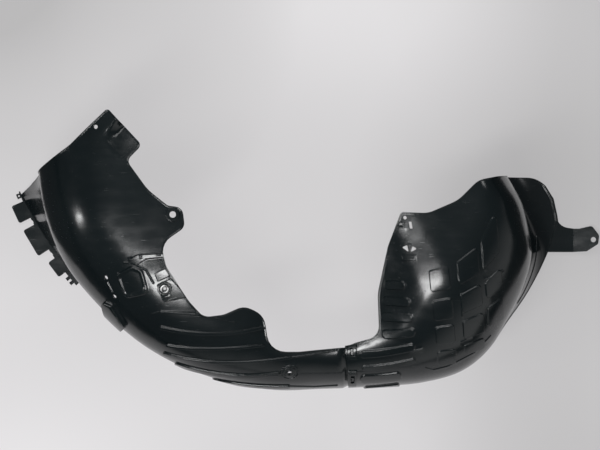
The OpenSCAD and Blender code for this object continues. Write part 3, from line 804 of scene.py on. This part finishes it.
def ring(middle, r, n=32):
    a = np.linspace(0, 2 * pi, n, endpoint=False)
    return np.asarray(middle) + r * circular(a)


def plate(name, solids, cuts, lift=None, guides=()):
    """A flat plate on the outboard edge: what lies in any of the solids and in none of the cuts."""
    loops = [filled(s, 2.5) for s in solids] + [filled(c, 2.5) for c in cuts]
    points, edges = [], []
    for loop in loops:
        edges += loop_edges(len(points), len(loop))
        points.extend(loop)
    for a, b in guides:
        edges.append((len(points), len(points) + 1))
        points += [np.array(a, float), np.array(b, float)]
    verts, _, faces = delaunay_2d_cdt([Vector(p) for p in points], edges, [], 0, 1e-3, False)[:3]

    def is_plastic(p):
        solid, cut = ([within(p, loop) for loop in kind] for kind in (solids, cuts))
        return np.any(solid, 0) & ~np.any(cut, 0)
    flat, faces = cut_out(np.array([tuple(v) for v in verts]), np.array(faces), is_plastic)
    up = np.tile([0.0, 0.0, 1.0], (len(flat), 1))
    low = np.column_stack([flat, np.zeros(len(flat))])
    if lift:
        low, up = lift(low)
    return thin_wall(name, faces, low + up * WALL, low, up, up, PLATE_EDGE)


def wheel_side(u0, u1, n=24):
    """What lies on the wheel's side of the shell's foot, between two places along it."""
    u = np.linspace(u0, u1, n)
    q = surface(u, np.full(n, 3.0))[:, :2]
    return np.vstack([q - unit(q) * WALL / 2, [[0, -140]]])


def front_flange():
    first, last = FLANGE_ENDS
    arc = [polar(a, FLANGE_R) for a in np.linspace(first, last, 40)]
    solids = [np.array(arc + [polar(last, TREAD_R - 10), polar(first, TREAD_R - 10)])]
    for a0, a1, reach in TABS:
        corners = [(a0, -8, 0), (a0, reach, 3), (a1, reach, 3), (a1, -8, 0)]
        solids.append(rounded([(*polar(a, FLANGE_R + d), r) for a, d, r in corners]))
    for a0, a1 in TEETH:
        solids.append(np.array([polar(a0, TREAD_R), polar(a0, FLANGE_R + 5),
                                polar(a1, FLANGE_R + 5), polar(a1, TREAD_R)]))
    cuts = [wheel_side(0.8, 5)]
    cuts += [ring(polar(a, FLANGE_R + NOTCH_W / 2 - 1), NOTCH_W / 2) for a in NOTCHES]
    cuts.append(ring(polar(*PIN_HOLE), PIN_HOLE_R, 20))
    return plate("front_flange", solids, cuts)


def rear_flange():
    base = rounded([(318, -191, 0), (332, -191, 0), (335, -206, 18), (LUG_X, LUG_HIGH, 0),
                    (LUG_X + 0.01, LUG_LOW, 0), (305, LUG_LOW, 0)])
    lug = rounded([(LUG_X - 1, LUG_LOW, 0), (LUG_X + 18, LUG_LOW + 1, 3),
                   (LUG_X + 33.5, LUG_LOW + 11, 4), (LUG_X + 35, LUG_LOW + 23, 7),
                   (LUG_X + 25, LUG_HIGH + 4, 5), (LUG_X + 8, LUG_HIGH, 4),
                   (LUG_X - 1, LUG_HIGH, 0)])

    def bend(p):
        past = np.maximum(p[:, 0] - LUG_X, 0)
        b = radians(LUG_BEND)
        p = p.copy()
        p[:, 0] = np.where(past > 0, LUG_X + past * cos(b), p[:, 0])
        p[:, 2] = past * sin(b)
        up = np.where((past > 0)[:, None], [-sin(b), 0, cos(b)], [0.0, 0.0, 1.0])
        return p, up
    cuts = [wheel_side(16, 20), ring(LUG_HOLE, LUG_HOLE_R)]
    fold = [((LUG_X + d, LUG_LOW - 5), (LUG_X + d, LUG_HIGH + 5)) for d in (-0.8, 0.8)]
    return plate("rear_flange", [base, lug], cuts, bend, fold)


def catch(name, plan):
    """A snap catch: a small drafted block that stands in its window, on the joggled end."""
    u, w = from_plan(np.array([plan], float))
    foot, up = surface(u, w)[0], surface_normal(u, w)[0]
    side = unit(np.cross([0.0, 1.0, 0.0], up))
    ahead = np.cross(up, side)
    rings = []
    for height, draft in ((-WALL - LAP_GAP - 0.4, 0), (CATCH_H - 0.7, 0.15), (CATCH_H - 0.2, 0.35),
                          (CATCH_H, 0.9)):
        outline = box_outline((0, 0), CATCH_W - 2 * draft, CATCH_L - 2 * draft, 0.6)
        rings.append(foot + outline[:, :1] * side + outline[:, 1:] * ahead + up * height)
    n, verts = len(rings[0]), np.concatenate(rings)
    faces = [tuple(range(n))[::-1], tuple(range(3 * n, 4 * n))]
    faces += [(k * n + i, k * n + (i + 1) % n, (k + 1) * n + (i + 1) % n, (k + 1) * n + i)
              for k in range(3) for i in range(n)]
    made = moulding(name, verts, faces)
    made.data.polygons.foreach_set("use_smooth", [False] * len(faces))
    return made


pieces = {"front_section": [front_liner(), front_flange()]
          + [catch("snap_catch_%d" % (k + 1), place) for k, place in enumerate(LATCHES)],
          "rear_section": [rear_liner(), rear_flange()]}


# Materials

def linear(hex_colour):
    """An sRGB hex colour as the linear colour that the shader takes."""
    parts = [int(hex_colour[i:i + 2], 16) / 255 for i in (1, 3, 5)]
    return tuple(c / 12.92 if c <= 0.04045 else ((c + 0.055) / 1.055) ** 2.4 for c in parts) + (1,)


def new_material(name):
    """A material and its shader."""
    material = bpy.data.materials.new(name)
    material.use_nodes = True
    return material, material.node_tree.nodes["Principled BSDF"]


def node(material, kind, links=None, **settings):
    """Adds a node, sets its properties and sockets, and links its inputs."""
    made = material.node_tree.nodes.new(kind)
    for key, value in settings.items():     # From_Min is the socket From Min
        if hasattr(made, key):
            setattr(made, key, value)
        else:
            made.inputs[key.replace("_", " ")].default_value = value
    for socket, source in (links or {}).items():
        material.node_tree.links.new(source, made.inputs[socket])
    return made


def set_stops(made, stops):
    """Sets the first and the last stop of a colour ramp and adds those between them."""
    elements = made.color_ramp.elements
    for at, colour in stops.items():
        here = elements.new(at) if 0 < at < 1 else elements[-1 if at else 0]
        here.color = linear(colour)


def black_polypropylene():
    """Moulded black polypropylene: a deep blue-black with a semi-gloss skin from a polished
    mould, a little uneven where it cooled and flowed, greyed and duller on its edges."""
    material, shader = new_material("moulded_black_polypropylene")
    shader.inputs["IOR"].default_value = 1.49
    place = node(material, "ShaderNodeTexCoord").outputs["Object"]

    per_mm = 1000       # the object's coordinates are metres
    # Pigment: slow clouds, as the melt mixed. Streaks along the flow, which only dull the gloss below
    clouds = node(material, "ShaderNodeTexNoise", {"Vector": place}, Scale=per_mm / 70, Detail=2.0)
    pigment = node(material, "ShaderNodeValToRGB", {"Fac": clouds.outputs["Fac"]})
    set_stops(pigment, {0: "#090f11", 1: "#11191b"})
    flow = node(material, "ShaderNodeMapping", {"Vector": place}, Scale=(0.25, 1.0, 1.0))
    streaks = node(material, "ShaderNodeTexNoise", {"Vector": flow.outputs[0]},
                   Scale=per_mm / 9, Detail=4.0)
    # Handling has greyed the proud edges of ribs, rims and bores, here more and there less
    bend = node(material, "ShaderNodeNewGeometry")
    edges = node(material, "ShaderNodeMapRange", {"Value": bend.outputs["Pointiness"]}, clamp=True,
                 From_Min=0.53, From_Max=0.6, To_Min=0.0, To_Max=0.5)
    hands = node(material, "ShaderNodeTexNoise", {"Vector": place}, Scale=per_mm / 6, Detail=3.0)
    patchy = node(material, "ShaderNodeMapRange", {"Value": hands.outputs["Fac"]}, clamp=True,
                  From_Min=0.45, From_Max=0.65, To_Min=0.15, To_Max=1.0)
    worn = node(material, "ShaderNodeMath", {0: edges.outputs[0], 1: patchy.outputs[0]},
                operation="MULTIPLY")
    colour = node(material, "ShaderNodeMix", {0: worn.outputs[0], 6: pigment.outputs["Color"]},
                  data_type="RGBA")
    colour.inputs[7].default_value = linear("#343b3d")
    material.node_tree.links.new(colour.outputs[2], shader.inputs["Base Color"])
    # Gloss: even from the mould, a little duller in streaks, in fine scuffs and where it is worn
    along = node(material, "ShaderNodeMapping", {"Vector": place}, Rotation=(0, 0, radians(35)),
                 Scale=(0.08, 1.0, 1.0))
    scratches = node(material, "ShaderNodeTexNoise", {"Vector": along.outputs[0]},
                     Scale=per_mm / 2.2, Detail=2.0)
    polish = node(material, "ShaderNodeTexNoise", {"Vector": place}, Scale=per_mm / 45, Detail=3.0)
    gloss = None
    for source, low, high, least, most in ((polish.outputs["Fac"], 0.3, 0.7, 0.14, 0.2),
                                           (streaks.outputs["Fac"], 0.4, 0.7, 0.0, 0.05),
                                           (scratches.outputs["Fac"], 0.66, 0.74, 0.0, 0.12),
                                           (worn.outputs[0], 0.0, 0.5, 0.0, 0.12)):
        part = node(material, "ShaderNodeMapRange", {"Value": source}, clamp=True,
                    From_Min=low, From_Max=high, To_Min=least, To_Max=most).outputs[0]
        gloss = part if gloss is None else node(material, "ShaderNodeMath", {0: gloss, 1: part},
                                                operation="ADD").outputs[0]
    material.node_tree.links.new(gloss, shader.inputs["Roughness"])
    # Skin: sinks of a few centimetres, then the mould's grain. The real grain of 0.2 mm would
    # not show here, so it is drawn at 1.6 mm.
    slow = node(material, "ShaderNodeTexNoise", {"Vector": place}, Scale=per_mm / 34, Detail=1.0)
    sinks = node(material, "ShaderNodeBump", {"Height": slow.outputs["Fac"]}, Strength=1.0,
                 Distance=0.5 * MM)
    fine = node(material, "ShaderNodeTexNoise", {"Vector": place}, Scale=per_mm / 1.6, Detail=2.0)
    grain = node(material, "ShaderNodeBump", {"Height": fine.outputs["Fac"],
                                              "Normal": sinks.outputs[0]},
                 Strength=0.5, Distance=0.04 * MM)
    material.node_tree.links.new(grain.outputs[0], shader.inputs["Normal"])
    return material


plastic = black_polypropylene()
for cad_node, made in pieces.items():
    for piece in made:
        piece.data.materials.append(plastic)
        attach(piece, "root")
        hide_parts(cad_node)


# Stage

def seen_directly(material):
    """1 for what the camera sees straight or in a reflection, 0 for what only lights the liner."""
    rays = node(material, "ShaderNodeLightPath")
    first = node(material, "ShaderNodeMath", {0: rays.outputs["Is Camera Ray"],
                                              1: rays.outputs["Is Glossy Ray"]}, operation="ADD")
    both = node(material, "ShaderNodeMath", {0: first.outputs[0],
                                             1: rays.outputs["Is Transmission Ray"]},
                operation="ADD", use_clamp=True)
    return both.outputs[0]


# Painted light and shade on the paper's glow, in metres: middle, reach, and how much lighter or darker
# there
PAINTED_PAPER_LIGHT = [(-0.42, 0.36, 0.42, -0.75), (0.50, 0.02, 0.45, -0.50), (0.40, 0.38, 0.30, -0.25),
                (-0.42, -0.30, 0.45, 0.55), (0.0, 0.33, 0.35, 0.35), (0.45, -0.35, 0.3, -0.25)]


def pale_paper():
    """Matt studio paper: its own glow stands for a bright sweep, painted lighter and darker in soft spots
    as uneven light would fall, and it keeps shadows.
    """
    material, shader = new_material("pale_paper")
    shader.inputs["Base Color"].default_value = linear("#d9d7d6")
    shader.inputs["Roughness"].default_value = 0.9
    shader.inputs["Specular IOR Level"].default_value = 0.1
    place = node(material, "ShaderNodeTexCoord")
    cloud = node(material, "ShaderNodeTexNoise", {"Vector": place.outputs["Object"]},
                 Scale=2.5, Detail=0.0)
    level = cloud.outputs["Fac"]
    # Each spot paints the glow lighter or darker: painted light and shade, not lamp light
    for x, y, reach, change in PAINTED_PAPER_LIGHT:
        near = node(material, "ShaderNodeMapping", {"Vector": place.outputs["Object"]},
                    Location=(-x / reach, -y / reach, 0), Scale=(1 / reach, 1 / reach, 0))
        spot = node(material, "ShaderNodeTexGradient", {"Vector": near.outputs[0]},
                    gradient_type="SPHERICAL")
        more = node(material, "ShaderNodeMath", {0: spot.outputs["Fac"], 2: level},
                    operation="MULTIPLY_ADD")
        more.inputs[1].default_value = change
        level = more.outputs[0]
    tone = node(material, "ShaderNodeValToRGB", {"Fac": level})
    set_stops(tone, {0: "#b4b3b4", 1: "#eeecee"})
    glow = node(material, "ShaderNodeEmission", {"Color": tone.outputs["Color"]}, Strength=1.0)
    share = node(material, "ShaderNodeMath", {0: seen_directly(material)}, operation="MULTIPLY")
    share.inputs[1].default_value = 0.8     # the rest is plain paper, which takes the shadow
    mixed = node(material, "ShaderNodeMixShader", {0: share.outputs[0], 1: shader.outputs[0],
                                                   2: glow.outputs[0]})
    output = material.node_tree.nodes["Material Output"]
    material.node_tree.links.new(mixed.outputs[0], output.inputs["Surface"])
    return material


def dark_floor():
    """Painted concrete round the paper, dim and matt."""
    material, shader = new_material("dark_painted_concrete")
    shader.inputs["Base Color"].default_value = linear("#2a2b2d")
    shader.inputs["Roughness"].default_value = 0.8
    return material


def stage_sheet(name, corners, z, material):
    mesh = bpy.data.meshes.new(name)
    mesh.from_pydata([(x, y, z) for x, y in corners], [], [tuple(range(len(corners)))])
    mesh.materials.append(material)
    added(name, mesh)


# The paper ends just left and right of the picture, so that the shoulders mirror the dark floor
# beyond it and keep only a thin pale rim. It is wider lower down, where the tread wall mirrors it.
PAPER_Z, FLOOR_Z, FLOOR_REACH = -0.0003, -0.004, 25
PAPER = [(-0.6, -3.0), (0.7, -3.0), (0.7, -0.28), (0.425, -0.02), (0.425, 0.6), (-0.43, 0.6),
         (-0.43, 0.0), (-0.6, -0.2)]
stage_sheet("paper_sheet", PAPER, PAPER_Z, pale_paper())
floor = [(x * FLOOR_REACH, y * FLOOR_REACH) for x, y in SQUARE]
stage_sheet("studio_floor", floor, FLOOR_Z, dark_floor())


def studio_walls():
    """A dim room: a little light overhead, a pale wall low down past the rear lobe's tread."""
    world = bpy.context.scene.world or bpy.data.worlds.new("studio")
    bpy.context.scene.world = world
    world.use_nodes = True
    back = world.node_tree.nodes["Background"]
    place = node(world, "ShaderNodeTexCoord")
    split = node(world, "ShaderNodeSeparateXYZ", {0: place.outputs["Generated"]})
    height = node(world, "ShaderNodeValToRGB", {"Fac": split.outputs["Z"]})
    set_stops(height, {0: "#4c4d4f", 0.3: "#505153", 0.8: "#5c5f61", 1: "#7b7f81"})
    side = node(world, "ShaderNodeVectorMath", {0: place.outputs["Generated"]},
                operation="DOT_PRODUCT")
    side.inputs[1].default_value = (0.62, -0.78, -0.35)
    wall = node(world, "ShaderNodeValToRGB", {"Fac": side.outputs["Value"]})
    set_stops(wall, {0: "#000000", 0.45: "#000000", 0.8: "#c8c8c7", 1: "#e0e0df"})
    both = node(world, "ShaderNodeMix", {6: height.outputs["Color"], 7: wall.outputs["Color"]},
                data_type="RGBA", blend_type="ADD")
    both.inputs[0].default_value = 1.0
    world.node_tree.links.new(both.outputs[2], back.inputs["Color"])


studio_walls()


def softbox(name, aim, middle, along, width, height, radiance):
    """A softbox whose middle is at a place and which faces a point of the liner."""
    away = (Vector(middle) - Vector(aim)).normalized()
    side = Vector(along)
    side = (side - away * side.dot(away)).normalized()
    light = bpy.data.lights.new(name, "AREA")
    light.shape, light.size, light.size_y = "RECTANGLE", width, height
    light.energy = radiance * pi * width * height
    turn = Matrix((side, away.cross(side), away)).transposed()
    added(name, light).matrix_world = Matrix.Translation(middle) @ turn.to_4x4()


# Softboxes, in metres: what each aims at, its middle, the way its width runs, width, height and
# radiance. The left window makes the highlight of the front lobe, the ceiling window those of the
# rear lobe and the bracket. The right glow is a faint sheen on the dome, and the back light fills.
SOFTBOXES = {
    "left_window": ((-0.28, 0.05, 0.22), (-2.45, -0.57, 1.04), (0, 0, 1), 0.42, 0.22, 24),
    "ceiling_window": ((0.15, -0.03, 0.23), (-0.54, -0.625, 2.2), (0.92, 0.385, 0), 1.1, 0.3, 26),
    "right_glow": ((0.22, 0.08, 0.23), (1.28, 1.15, 1.74), (0, 1, 0), 0.6, 0.4, 5),
    "back_light": ((0.0, -0.05, 0.2), (-0.5, 2.0, 1.7), (1, 0, 0), 2.4, 1.2, 3.6)}
for name, lamp in SOFTBOXES.items():
    softbox(name, *lamp)

# The camera looks straight down at a point of the liner's plan: the picture's width spans 780 mm
# at a height of 125 mm, 2.4 m below the camera.
VIEW_MIDDLE, VIEW_WIDTH, VIEW_FAR, VIEW_Z = (-18, -204), 780, 2400, 125
camera = added("camera", bpy.data.cameras.new("camera"))
camera.data.sensor_width = 36
camera.data.lens = camera.data.sensor_width * VIEW_FAR / VIEW_WIDTH
camera.location = ((VIEW_MIDDLE[0] - MIDDLE[0]) * MM, (VIEW_MIDDLE[1] - MIDDLE[1]) * MM,
                   (VIEW_FAR + VIEW_Z) * MM)
bpy.context.scene.camera = camera
bpy.context.scene.view_settings.view_transform = "Standard"
